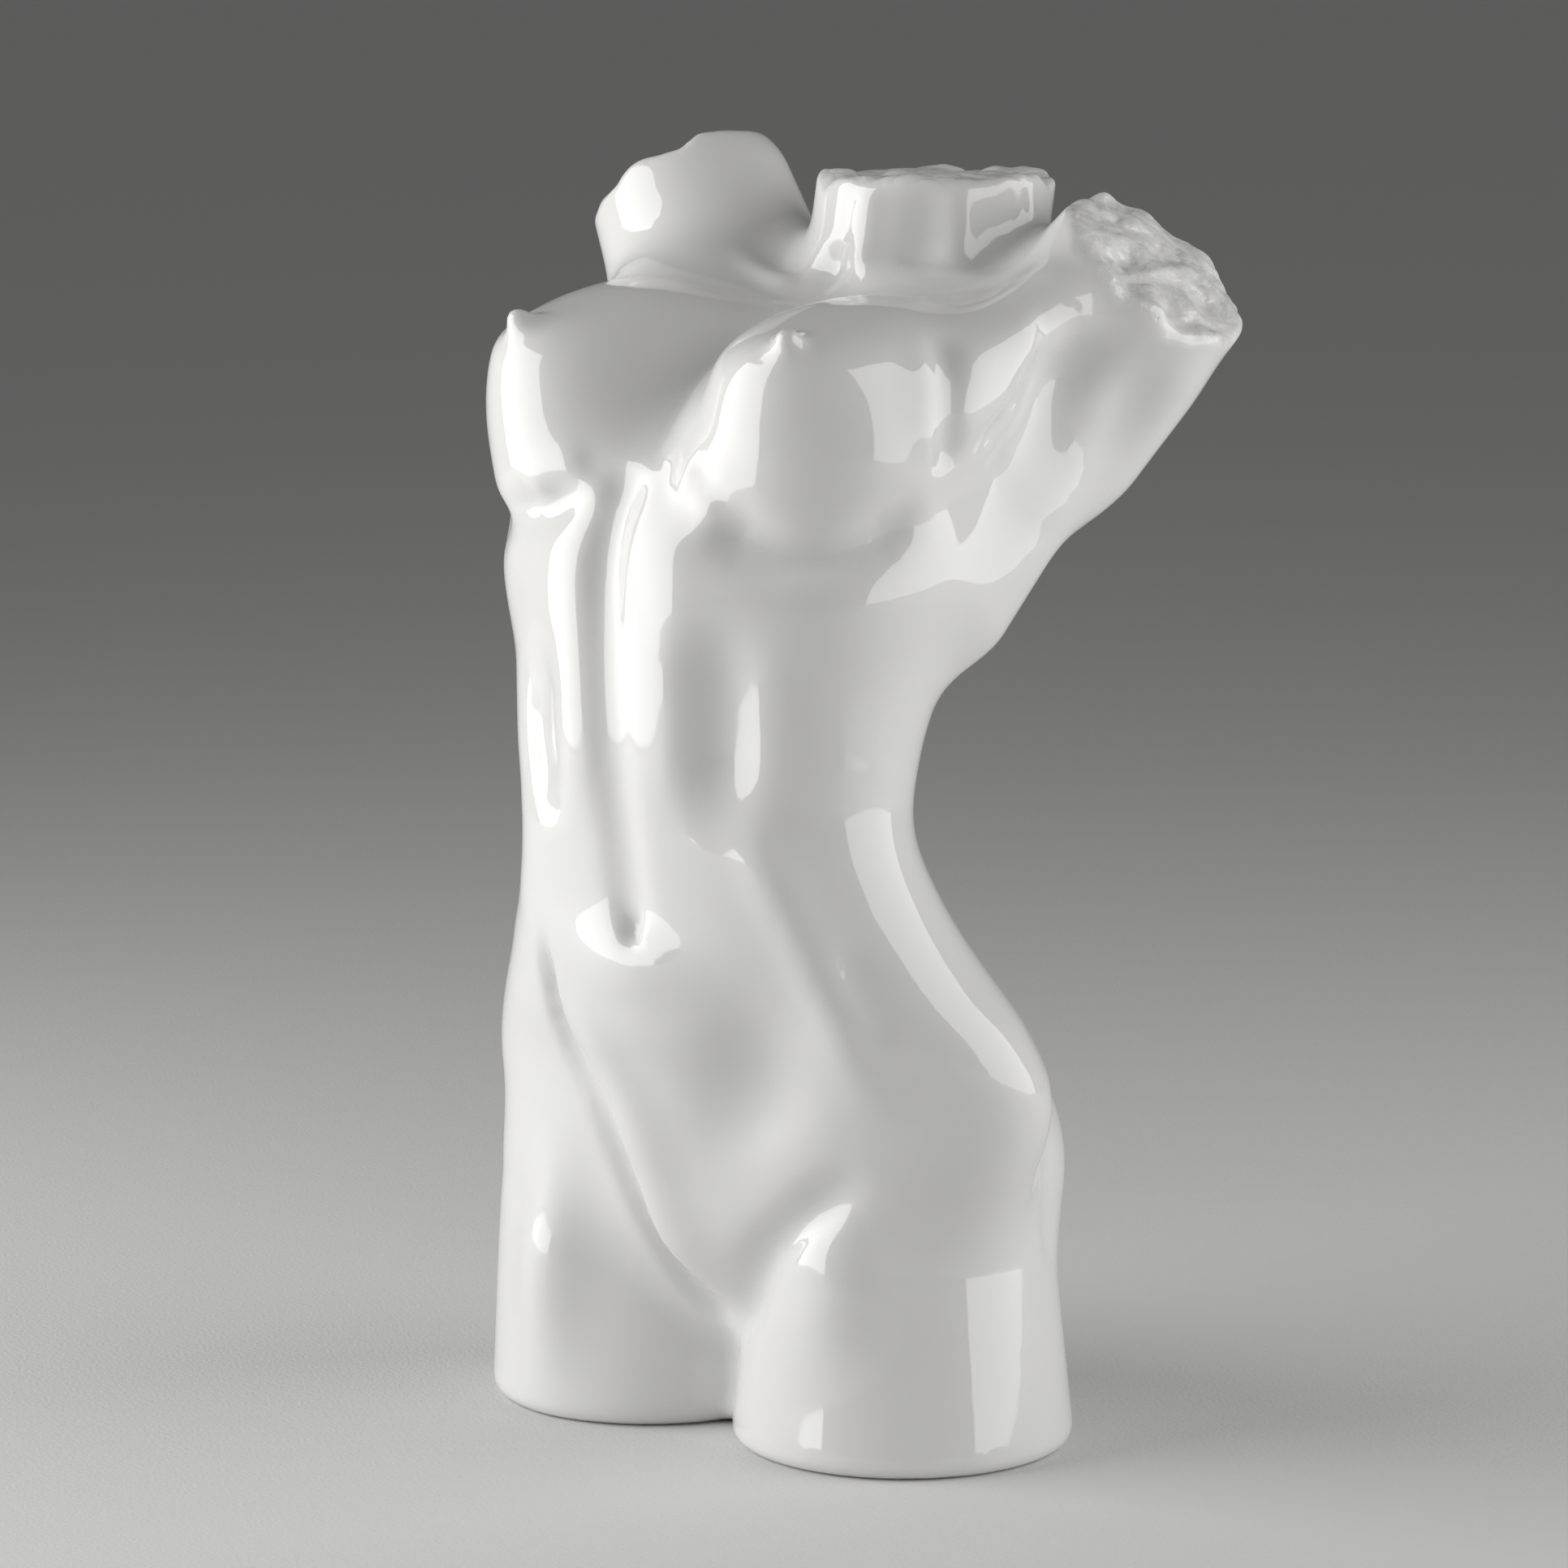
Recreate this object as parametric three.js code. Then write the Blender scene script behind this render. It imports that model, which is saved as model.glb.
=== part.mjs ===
// A slim female torso sculpture, cast in one piece. Its neck and both raised
// arms end in rough breaks, and it stands on its own cut-off thighs.
// Millimetres, +Z up. It faces -Y, and +X is the side of its left arm.
import * as THREE from 'three';

// Driving sizes
const torsoHeight = 300;       // floor to the top of the right arm's break
const part = torsoHeight / 300;     // the figure below is laid out 300 parts tall
const triangleGoal = 8600;     // the surface is thinned to about this many triangles
const gridStep = 3;            // parts, the cells that the surface is found in
const baseRounding = 5;        // parts, the blend between the thighs and the flat base
const breakRoughness = 1.8;    // parts, the lumps on the broken ends
const breakCell = 8;           // parts, their spacing
const glazeColour = 0xf1f0ee;
const glazeRoughness = 0.12;

// The trunk from the crotch to the shoulders: height, half width, front, back
const trunkStations = [
  [16, 20, -13, 14],
  [34, 48, -27, 23],
  [50, 64, -37, 28],
  [67, 72.5, -42, 29],
  [90, 75, -47, 27],
  [102, 70, -52.5, 23.5],
  [115, 62, -57, 19],
  [130, 54.5, -59, 13],
  [146, 50, -61, 9],
  [163, 50.5, -63, 13],
  [184, 53, -64, 25],
  [207, 58, -63, 38.5],
  [230, 56, -60, 52],
  [262, 52, -42, 68],
  [300, 50, -24, 84],
];
// How far the body leans to its left: height, shift
const swayStations = [
  [0, -1.5], [60, 0.2], [85, 3], [104, 4.4], [122, 2.4], [150, 0.2], [200, 0], [260, 0], [300, 2],
];

// Small vector helpers
const minus = (a, b) => [a[0] - b[0], a[1] - b[1], a[2] - b[2]];
const dot = (a, b) => a[0] * b[0] + a[1] * b[1] + a[2] * b[2];
const size = (a) => Math.hypot(a[0], a[1], a[2]);
const clamp = (v, low, high) => Math.min(Math.max(v, low), high);
const cross = (a, b) => [a[1] * b[2] - a[2] * b[1], a[2] * b[0] - a[0] * b[2], a[0] * b[1] - a[1] * b[0]];

// Join and cut of two distances, each with a soft seam of the given width
const join = (a, b, seam) => {
  const h = Math.max(seam - Math.abs(a - b), 0) / seam;
  return Math.min(a, b) - h * h * seam / 4;
};
const cut = (a, b, seam) => -join(-a, -b, seam);

// A smooth curve through stations [at, value, ...], read at one height
function through(stations, column, at) {
  const last = stations.length - 1;
  const z = clamp(at, stations[0][0], stations[last][0]);
  let i = 0;
  while (i < last - 1 && z >= stations[i + 1][0]) i += 1;
  const rise = (k) => stations[k + 1][column] - stations[k][column];
  const slope = (k) => rise(k) / (stations[k + 1][0] - stations[k][0]);
  const gap = (k) => stations[k + 1][0] - stations[k][0];
  const tangent = (k) => {
    if (k === 0) return slope(0);
    if (k === last) return slope(last - 1);
    return (slope(k) * gap(k - 1) + slope(k - 1) * gap(k)) / (gap(k) + gap(k - 1));
  };
  const h = gap(i);
  const t = (z - stations[i][0]) / h;
  return (1 + 2 * t) * (1 - t) ** 2 * stations[i][column] + t * (1 - t) ** 2 * h * tangent(i)
    + t * t * (3 - 2 * t) * stations[i + 1][column] + t * t * (t - 1) * h * tangent(i + 1);
}

// Turns a point into the frame of a piece tipped by pitch about X, then by yaw
// about Z, both in degrees
function turned(p, pitch, yaw) {
  const [a, b] = [pitch * Math.PI / 180, yaw * Math.PI / 180];
  const x = Math.cos(b) * p[0] + Math.sin(b) * p[1];
  const y = Math.cos(b) * p[1] - Math.sin(b) * p[0];
  return [x, Math.cos(a) * y + Math.sin(a) * p[2], Math.cos(a) * p[2] - Math.sin(a) * y];
}

// Near-distance to an ellipsoid
function egg(p, at, radii, pitch = 0, yaw = 0) {
  const q = turned(minus(p, at), pitch, yaw);
  const near = size([q[0] / radii[0], q[1] / radii[1], q[2] / radii[2]]);
  const steep = size([q[0] / radii[0] ** 2, q[1] / radii[1] ** 2, q[2] / radii[2] ** 2]);
  return near * (near - 1) / Math.max(steep, 1e-9);
}

// Distance to a round limb that tapers from one end to the other
function limb(p, from, to, fromRadius, toRadius) {
  const along = minus(to, from);
  const q = minus(p, from);
  const t = clamp(dot(q, along) / dot(along, along), 0, 1);
  const off = [q[0] - t * along[0], q[1] - t * along[1], q[2] - t * along[2]];
  return size(off) - (fromRadius + (toRadius - fromRadius) * t);
}

// Distance beyond a plane
function beyond(p, at, facing) {
  return dot(minus(p, at), facing) / size(facing);
}

// Lumps of a rough break: random heights between -1 and 1 at the corners of
// cells of the given size, with smooth slopes between them
function lumps(p, cell) {
  const corner = (i, j, k) => {
    const mixed = Math.sin(12.9898 * i + 78.233 * j + 37.719 * k) * 43758.5453;
    return 2 * (mixed - Math.floor(mixed)) - 1;
  };
  const base = p.map((v) => Math.floor(v / cell));
  const [x, y, z] = p.map((v, k) => {
    const t = v / cell - base[k];
    return t * t * (3 - 2 * t);
  });
  let sum = 0;
  for (const i of [0, 1]) for (const j of [0, 1]) for (const k of [0, 1]) {
    const share = (i ? x : 1 - x) * (j ? y : 1 - y) * (k ? z : 1 - z);
    sum += share * corner(base[0] + i, base[1] + j, base[2] + k);
  }
  return sum;
}

// A carved line through the given points: full depth on the line, fading over
// the width and towards both ends. A positive depth cuts in, a negative one
// stands proud, and both sides of the body share a line marked "both".
function line(side, depth, width, fade, points) {
  const fine = 3 * (points.length - 1);
  const stations = points.map((p, i) => [i / (points.length - 1), ...p]);
  const path = [];
  for (let i = 0; i <= fine; i += 1) {
    path.push([1, 2, 3].map((column) => through(stations, column, i / fine)));
  }
  const reach = 2.6 * width;
  const low = [0, 1, 2].map((k) => Math.min(...path.map((p) => p[k])) - reach);
  const high = [0, 1, 2].map((k) => Math.max(...path.map((p) => p[k])) + reach);
  return { side, depthAt: (p) => {
    for (let k = 0; k < 3; k += 1) if (p[k] < low[k] || p[k] > high[k]) return 0;
    let [nearest, place] = [Infinity, 0];
    for (let i = 0; i < fine; i += 1) {
      const along = minus(path[i + 1], path[i]);
      const q = minus(p, path[i]);
      const t = clamp(dot(q, along) / dot(along, along), 0, 1);
      const off = (q[0] - t * along[0]) ** 2 + (q[1] - t * along[1]) ** 2 + (q[2] - t * along[2]) ** 2;
      if (off < nearest) [nearest, place] = [off, (i + t) / fine];
    }
    const end = clamp(Math.min(place, 1 - place) / fade, 0, 1);
    return depth * Math.exp(-nearest / width ** 2) * end * end * (3 - 2 * end);
  } };
}

// A carved spot: full depth at its middle, fading over its three radii
function spot(side, depth, at, radii) {
  const reach = 2.6 * Math.max(...radii);
  return { side, depthAt: (p) => {
    const q = minus(p, at);
    if (Math.abs(q[0]) > reach || Math.abs(q[1]) > reach || Math.abs(q[2]) > reach) return 0;
    return depth * Math.exp(-((q[0] / radii[0]) ** 2 + (q[1] / radii[1]) ** 2 + (q[2] / radii[2]) ** 2));
  } };
}

// Trunk: an elliptical section that follows its stations
function trunk(p) {
  const [wide, front, back] = [1, 2, 3].map((column) => through(trunkStations, column, p[2]));
  const [middle, deep] = [(front + back) / 2, (back - front) / 2];
  const [x, y] = [p[0] / wide, (p[1] - middle) / deep];
  const near = Math.hypot(x, y);
  const across = near * (near - 1) / Math.max(Math.hypot(x / wide, y / deep), 1e-9);
  return cut(across, 16 - p[2], 12);
}

// The plain masses of the body; q is the point mirrored to the left side
function masses(p, q) {
  let d = trunk(p);
  d = cut(d, beyond(p, [0, -27, 249], [0, -0.59, 0.81]), 22);  // upper chest, leaning back
  d = cut(d, beyond(p, [0, 12, 263], [0, 0.2, 1]), 22);  // top of the shoulders
  d = join(d, limb(p, [36.8, -1, -6], [33, 3, 56], 40.8, 34.2), 8);  // left thigh
  d = join(d, limb(p, [-38, -0.5, -6], [-39, 4, 56], 38.3, 38.2), 8);  // right thigh
  d = join(d, limb(p, [-1, 3, -6], [-1, 3, 30], 16, 15), 6);  // web between them
  d = join(d, egg(q, [29.5, 19, 63], [28, 24, 30], -10), 16);  // buttocks
  d = join(d, egg(q, [36, -29, 210], [11.8, 17, 23]), 13);  // ribs under the breasts
  d = join(d, egg(q, [36, 0, 246], [27, 36, 18]), 14);  // chest muscle
  d = join(d, limb(q, [44, 7.5, 197], [63.5, 45, 248.5], 12.4, 10.8), 16);  // broad back muscle
  d = join(d, egg(q, [25.5, 40, 226], [20.5, 16, 27], -30), 18);  // shoulder blades
  const relief = breakRoughness * lumps(p, breakCell);
  const leftArm = limb(p, [46.5, 38, 239.5], [79.8, 58.2, 288.5], 26.8, 24.4);
  d = join(d, cut(leftArm, beyond(p, [72.5, 52, 268.8], [0.65, 0.07, 0.76]) + relief, 3), 14);
  const rightArm = limb(p, [-32, 35, 236], [-75, 50.5, 298], 28.5, 22.5);
  const rightBroken = cut(rightArm, beyond(p, [-67, 51, 289], [-0.58, 0, 0.81]) + relief, 3);
  d = join(d, cut(rightBroken, beyond(p, [-50, 50, 300], [0.08, 0.2, 1]), 8), 16);
  const neck = limb(p, [6, 43, 240], [8, 49, 305], 28, 28);
  d = join(d, cut(neck, beyond(p, [4, 56, 290.5], [-0.02, 0.02, 1]) + relief, 3), 14);
  const tip = egg(q, [34, -32, 246.5], [14, 14.5, 22.5], 45, 6);
  const breast = join(egg(q, [30.5, -24, 237.5], [27.3, 31, 31.5]), tip, 14);
  d = join(d, cut(breast, beyond(p, [0, -45, 262.5], [0, -0.15, 1]), 10), 12);  // level on top
  d = join(d, limb(q, [37, -46, 257], [38.4, -50, 261.3], 3, 2.2), 5);  // nipples
  d = join(d, limb(p, [53, -16, 245], [61, 20, 263], 8, 8), 12);  // folds before the armpits
  d = join(d, limb(p, [-47, -14, 243], [-44, 20, 256], 9, 10), 18);
  return d;
}

// The carving, in parts
const carving = [
  // midline groove, the belly muscles on each side of it and the ends of the ribs above
  line('one', 4, 6.5, 0.08, [[-5, -50, 231], [-6, -58, 212], [-5, -62, 190], [-4, -62, 168],
    [-3, -60, 146], [-2.5, -58, 121]]),
  line('one', -2.4, 8, 0.25, [[-21, -54, 222], [-15, -62, 200], [-13, -63, 172], [-13, -60, 142]]),
  line('one', -2.6, 8, 0.25, [[4, -52, 226], [10, -62, 206], [12, -64, 175], [11, -60, 145]]),
  line('one', -2, 5, 0.3, [[4, -50, 232], [13, -52, 231], [21, -54, 227], [28, -55, 218]]),
  line('one', -1.5, 5, 0.3, [[-14, -52, 231], [-25, -54, 226], [-34, -53, 221]]),
  // hollows beside the belly muscles, left then right, and a crease on the right
  line('one', 5.2, 9.5, 0.35, [[23, -60, 203], [25, -57, 185], [24, -55, 166], [23, -57, 144]]),
  line('one', 2.8, 7.5, 0.35, [[-28, -56, 198], [-28, -55, 177], [-27, -54, 162], [-24, -56, 144]]),
  // ridges from the waist to the hips, the hollow inside the left one and the dip behind it
  line('one', -3, 7, 0.3, [[30, -52, 158], [34, -53, 144], [39, -50, 130], [44, -46, 115],
    [48, -39, 97], [55, -32, 80]]),
  line('one', -0.8, 8, 0.3, [[-34, -50, 158], [-38, -48, 138], [-44, -42, 117]]),
  line('one', 6.4, 12.5, 0.5, [[28, -55, 128], [26, -50, 108], [22, -46, 91], [14, -43, 75], [6, -40, 56]]),
  line('one', 1.8, 6.5, 0.35, [[46, -46, 128], [51, -41, 111], [55, -34, 92]]),
  // round belly with its pad under the navel
  spot('one', -1.6, [-8, -50, 104], [15, 16, 20]),
  spot('one', -2.4, [-4, -57, 116], [15, 12, 8.5]),
  spot('one', 4.2, [-2.4, -58, 125], [2.6, 6, 3.2]),
  spot('one', -1.5, [0.4, -58.5, 125.4], [1.5, 6, 1.7]),
  // groins: the right one is a sharp crease under the belly, the left one a soft valley
  line('one', 3.6, 3.2, 0.1, [[-32, -51, 124], [-35, -45, 105], [-32, -43, 92], [-24, -42, 79],
    [-18, -40, 68], [-13, -37, 57], [-8, -30, 43], [-3, -25, 33], [3, -21, 26]]),
  line('one', -2.4, 7, 0.25, [[-25, -53, 114], [-22, -48, 96], [-14, -46, 80], [-8, -42, 66],
    [-2, -34, 48], [3, -27, 36]]),
  spot('one', -5, [-43, -36, 38], [9, 14, 22]),
  line('one', 3.4, 5.5, 0.25, [[5, -22, 26], [12, -28, 33], [18, -32, 43], [26, -35, 52], [38, -36, 63],
    [50, -35, 74]]),
  spot('one', -5.6, [42, -36, 44], [14, 12, 15]),
  // folds under the breasts
  line('one', 1.3, 3.4, 0.4, [[12, -51, 237], [18, -54, 230], [25, -57, 225], [34, -57, 220]]),
  line('one', 4, 5.5, 0.25, [[20, -54, 221], [30, -54, 215], [42, -46, 212], [52, -35, 216],
    [57, -23, 225]]),
  line('one', 2.6, 5.5, 0.25, [[-12, -54, 226], [-25, -54, 221], [-38, -50, 216], [-48, -43, 214],
    [-56, -28, 222]]),
  line('one', 2.2, 4, 0.25, [[55, -14, 263], [60, -19, 256], [63, -22, 246], [61, -20, 236],
    [60, -18, 229]]),
  // left armpit: the edge of the chest muscle, the crease under it and the hollow; then the right one
  line('one', -2, 5, 0.3, [[57, -18, 250], [62, -4, 257], [67, 10, 262]]),
  line('one', 2.2, 2.8, 0.35, [[61, -11, 232], [62, -6, 237], [64, 0, 243], [66, 7, 252], [68, 11, 261]]),
  line('one', 5, 9, 0.4, [[72, 18, 266], [70, 17, 254], [68, 15, 243], [67, 16, 230], [66, 18, 216]]),
  line('one', 5, 10, 0.5, [[80, 30, 266], [77, 33, 254], [73, 34, 243], [69, 31, 230], [66, 27, 217],
    [62, 20, 204]]),
  line('one', 3.5, 10, 0.35, [[-66, 18, 252], [-63, 16, 240], [-58, 10, 226]]),
  // neck: pit, tendons with a hollow between them, collar bones
  spot('one', 2.4, [0, 18, 270], [5, 6, 5]),
  line('one', 1.6, 5, 0.25, [[21, 17, 270], [23, 21, 279], [23, 21, 291]]),
  line('one', -1.6, 4.5, 0.25, [[8, 14, 268], [9, 16, 279], [9, 16, 292]]),
  line('one', -1.4, 5, 0.25, [[29, 24, 270], [30, 26, 281], [30, 26, 292]]),
  line('both', -1.5, 3.5, 0.3, [[6, 14, 267], [22, 19, 268], [48, 30, 267]]),
  // spine furrow, cleft and folds of the buttocks, dips and creases at their sides
  line('one', 2.6, 8, 0.2, [[0, 62, 240], [0, 38, 200], [0, 14, 160], [0, 12, 135], [0, 26, 105]]),
  line('one', 6, 6, 0.2, [[0, 34, 92], [0, 42, 70], [0, 36, 48], [0, 18, 30]]),
  line('both', 2.5, 5, 0.35, [[10, 30, 40], [30, 37, 40], [50, 30, 46]]),
  spot('both', 1.6, [64, 8, 68], [9, 12, 22]),
  line('both', 2.8, 2.6, 0.3, [[65, 14, 74], [67, 14, 64], [68, 14, 54], [69, 15, 42]]),
];

// Distance to the finished surface: masses, then carving, then the flat base
function figure(point) {
  const p = [point[0] - through(swayStations, 1, point[2]), point[1], point[2]];
  const q = [Math.abs(p[0]), p[1], p[2]];
  let d = masses(p, q);
  if (Math.abs(d) < 9) for (const stroke of carving) d += stroke.depthAt(stroke.side === 'both' ? q : p);
  return cut(d, -p[2], baseRounding);
}

// Finds the surface in a grid of cells: one vertex in each cell that the
// surface crosses, and one square across each crossed edge of the grid
function surfaceIn(low, high, step) {
  const count = low.map((v, k) => Math.ceil((high[k] - v) / step) + 1);
  const index = (i, j, k) => (k * count[1] + j) * count[0] + i;
  const place = (i, j, k) => [low[0] + i * step, low[1] + j * step, low[2] + k * step];
  const value = new Float64Array(count[0] * count[1] * count[2]);
  for (let k = 0; k < count[2]; k += 1) for (let j = 0; j < count[1]; j += 1) {
    for (let i = 0; i < count[0]; i += 1) value[index(i, j, k)] = figure(place(i, j, k));
  }
  const vertices = [];
  const vertexIn = new Map();
  const corners = [0, 1, 2, 3, 4, 5, 6, 7].map((c) => [c & 1, (c >> 1) & 1, c >> 2]);
  const edges = [];
  for (let a = 0; a < 8; a += 1) for (const bit of [1, 2, 4]) if (!(a & bit)) edges.push([a, a | bit]);
  for (let k = 0; k < count[2] - 1; k += 1) for (let j = 0; j < count[1] - 1; j += 1) {
    for (let i = 0; i < count[0] - 1; i += 1) {
      const f = corners.map(([x, y, z]) => value[index(i + x, j + y, k + z)]);
      if (f.every((v) => v < 0) || f.every((v) => v >= 0)) continue;
      const sum = [0, 0, 0];
      let crossings = 0;
      for (const [a, b] of edges) {
        if ((f[a] < 0) === (f[b] < 0)) continue;
        const t = f[a] / (f[a] - f[b]);
        for (let n = 0; n < 3; n += 1) sum[n] += corners[a][n] + t * (corners[b][n] - corners[a][n]);
        crossings += 1;
      }
      vertexIn.set(index(i, j, k), vertices.length);
      vertices.push(place(i + sum[0] / crossings, j + sum[1] / crossings, k + sum[2] / crossings));
    }
  }
  const stride = [1, count[0], count[0] * count[1]];
  const faces = [];
  for (let k = 1; k < count[2] - 1; k += 1) for (let j = 1; j < count[1] - 1; j += 1) {
    for (let i = 1; i < count[0] - 1; i += 1) for (let axis = 0; axis < 3; axis += 1) {
      const here = index(i, j, k);
      const inside = value[here] < 0;
      if (inside === value[here + stride[axis]] < 0) continue;
      const [u, v] = [stride[(axis + 1) % 3], stride[(axis + 2) % 3]];
      const [a, b, c, d] = [here - u - v, here - v, here, here - u].map((cell) => vertexIn.get(cell));
      faces.push(...(inside ? [[a, b, c], [a, c, d]] : [[a, c, b], [a, d, c]]));
    }
  }
  return { vertices, faces };
}

// Moves each vertex straight onto the surface
function settle(vertices, rounds) {
  const e = 0.05;
  for (const p of vertices) for (let round = 0; round < rounds; round += 1) {
    const d = figure(p);
    const slope = [0, 1, 2].map((k) => {
      const q = [...p];
      q[k] += e;
      return (figure(q) - d) / e;
    });
    const scale = clamp(d, -1.5, 1.5) / Math.max(dot(slope, slope), 0.2);
    for (let k = 0; k < 3; k += 1) p[k] -= scale * slope[k];
  }
}

// Thins the surface to the goal: each round takes out the vertices whose loss
// shows least, by the squared distance to the planes of the faces they stood for
function thin(vertices, faces, goal) {
  const normalOf = (a, b, c) => cross(minus(vertices[b], vertices[a]), minus(vertices[c], vertices[a]));
  const quadric = vertices.map(() => new Float64Array(10));
  for (const [a, b, c] of faces) {
    const normal = normalOf(a, b, c);
    const long = size(normal);
    const [x, y, z] = normal.map((v) => v / long);
    const w = -(x * vertices[a][0] + y * vertices[a][1] + z * vertices[a][2]);
    const terms = [x * x, x * y, x * z, x * w, y * y, y * z, y * w, z * z, z * w, w * w];
    for (const v of [a, b, c]) terms.forEach((term, k) => { quadric[v][k] += term * long / 6; });
  }
  const lossAt = (q, [x, y, z]) => q[0] * x * x + 2 * q[1] * x * y + 2 * q[2] * x * z + 2 * q[3] * x
    + q[4] * y * y + 2 * q[5] * y * z + 2 * q[6] * y + q[7] * z * z + 2 * q[8] * z + q[9];
  let left = faces;
  while (left.length > goal) {
    const around = vertices.map(() => []);
    left.forEach((face, f) => face.forEach((v) => around[v].push(f)));
    const ringOf = (v) => new Set(around[v].flatMap((f) => left[f]).filter((other) => other !== v));
    const moves = [];
    for (const face of left) for (let k = 0; k < 3; k += 1) {
      const [gone, kept] = [face[k], face[(k + 1) % 3]];
      const span = size(minus(vertices[gone], vertices[kept]));
      for (const [a, b] of [[gone, kept], [kept, gone]]) {
        const both = quadric[a].map((v, n) => v + quadric[b][n]);
        moves.push([lossAt(both, vertices[b]) + 2e-4 * span ** 3, a, b]);
      }
    }
    moves.sort((a, b) => a[0] - b[0]);
    const locked = new Set();
    const dropped = new Set();
    for (const [, gone, kept] of moves.slice(0, moves.length / 3)) {
      if (left.length - dropped.size <= goal) break;
      if (locked.has(gone) || locked.has(kept)) continue;
      const ring = ringOf(gone);
      const shared = [...ringOf(kept)].filter((v) => ring.has(v));
      if (shared.length !== 2) continue;
      const moved = around[gone].filter((f) => !left[f].includes(kept));
      const sound = moved.every((f) => {
        const before = normalOf(...left[f]);
        const corners = left[f].map((v) => (v === gone ? kept : v));
        const after = normalOf(...corners);
        const sides = corners.map((v, k) => minus(vertices[v], vertices[corners[(k + 1) % 3]]));
        const longest = Math.max(...sides.map(size));
        return dot(before, after) > 0.5 * size(before) * size(after) && size(after) > 0.12 * longest ** 2;
      });
      if (!sound) continue;
      for (const f of moved) left[f] = left[f].map((v) => (v === gone ? kept : v));
      for (const f of around[gone]) if (!moved.includes(f)) dropped.add(f);
      quadric[gone].forEach((v, k) => { quadric[kept][k] += v; });
      for (const v of [gone, kept, ...ring]) locked.add(v);
    }
    if (dropped.size === 0) break;
    left = left.filter((face, f) => !dropped.has(f));
  }
  return left;
}

// The surface of the whole figure, thinned, then scaled to its real height
function torsoGeometry() {
  const { vertices, faces } = surfaceIn([-102, -84, -7.5], [108, 102, 307.5], gridStep);
  settle(vertices, 2);
  const kept = thin(vertices, faces.map((face) => [...face]), triangleGoal);
  const place = new Map();
  const positions = [];
  const indices = kept.flat().map((v) => {
    if (!place.has(v)) {
      place.set(v, place.size);
      const [x, y, z] = vertices[v].map((value) => value * part);
      positions.push(x, y, Math.abs(z) < 0.02 ? 0 : z);
    }
    return place.get(v);
  });
  const geometry = new THREE.BufferGeometry();
  geometry.setAttribute('position', new THREE.Float32BufferAttribute(positions, 3));
  geometry.setIndex(indices);
  geometry.computeVertexNormals();
  return geometry;
}

const glaze = new THREE.MeshStandardMaterial({ color: glazeColour, roughness: glazeRoughness, metalness: 0 });
const torso = new THREE.Mesh(torsoGeometry(), glaze);
torso.name = 'torso';

const sculpture = new THREE.Group();
sculpture.add(torso);
export default sculpture;
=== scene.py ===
# A glazed white porcelain torso of a woman: neck and both raised arms end in
# rough breaks, and it stands on its own cut-off thighs. Metres, +Z up, front to -Y.
import bpy
from math import cos, radians, sin, sqrt, tan
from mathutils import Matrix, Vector
import numpy as np


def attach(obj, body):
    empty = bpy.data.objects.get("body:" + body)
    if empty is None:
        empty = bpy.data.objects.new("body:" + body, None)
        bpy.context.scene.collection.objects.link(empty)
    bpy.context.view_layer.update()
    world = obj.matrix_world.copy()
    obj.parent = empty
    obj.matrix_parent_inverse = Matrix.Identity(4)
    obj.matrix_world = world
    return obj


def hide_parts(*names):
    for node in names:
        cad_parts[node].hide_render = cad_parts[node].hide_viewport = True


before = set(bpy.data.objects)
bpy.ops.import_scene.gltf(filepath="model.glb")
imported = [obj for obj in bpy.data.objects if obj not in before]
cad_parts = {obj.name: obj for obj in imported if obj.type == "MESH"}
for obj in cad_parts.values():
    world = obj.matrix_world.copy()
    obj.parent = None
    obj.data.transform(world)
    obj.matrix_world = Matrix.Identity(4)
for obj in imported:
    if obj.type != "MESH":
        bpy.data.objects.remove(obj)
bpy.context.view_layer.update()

# What a user would change about the torso; lengths in parts, 300 to its height, but the
# height itself and the glaze's clouds, waves and pits are in metres
torsoLook = {
    "height": 0.300,                     # floor to the top of the right arm's break
    "cell": 1.9,                         # the cells that the surface is found in
    "searchLow": (-102.0, -84.0, -7.4),  # the box that it is looked for in
    "searchHigh": (108.0, 102.0, 307.0),
    "baseRounding": 5.0,                 # the blend into the flat underside
    "breakDepth": 1.8,                   # the lumps on the broken ends
    "breakCell": 8.0,                    # and the spacing of the largest ones
    "crumbDepth": 0.8,
    "crumbCell": 5.4,
    "gritDepth": 0.22,
    "gritCell": 2.4,
    "fullHollow": 0.5,                   # how deep a hollow takes the darkest painted shade
    "glaze": (0.80, 0.80, 0.795),
    "warmGlaze": (0.81, 0.80, 0.78),     # faint clouds in the glaze
    "cloudScale": 30.0,                  # clouds to a metre
    "paintedShadeGlaze": (0.68, 0.69, 0.685),  # painted shade: the glaze a shade darker in the hollows
    "paintedShadeShare": 0.35,
    "brokenGlaze": (0.79, 0.785, 0.77),
    "glazeRoughness": 0.06,
    "brokenRoughness": 0.17,
    "glazeIndex": 1.62,                  # refractive index
    "rippleScale": 55.0,                 # slow waves in the glaze
    "rippleDepth": 0.0004,
    "rippleStrength": 0.25,
    "pitScale": 700.0,                   # fine pits on the broken ends
    "pitDepth": 0.00025,
}
partLength = torsoLook["height"] / 300


# a vector's direction: the vector over its own length
def unit(v):
    v = np.array(v, float)
    return v / sqrt(v @ v)


# soft smaller of two distances: the smaller, less a rounded seam of the given width
def join(a, b, seam):
    h = np.maximum(seam - np.abs(a - b), 0) / seam
    return np.minimum(a, b) - h * h * seam / 4


# soft larger of two distances, which cuts one by the other
def cut(a, b, seam):
    return -join(-a, -b, seam)


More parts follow.
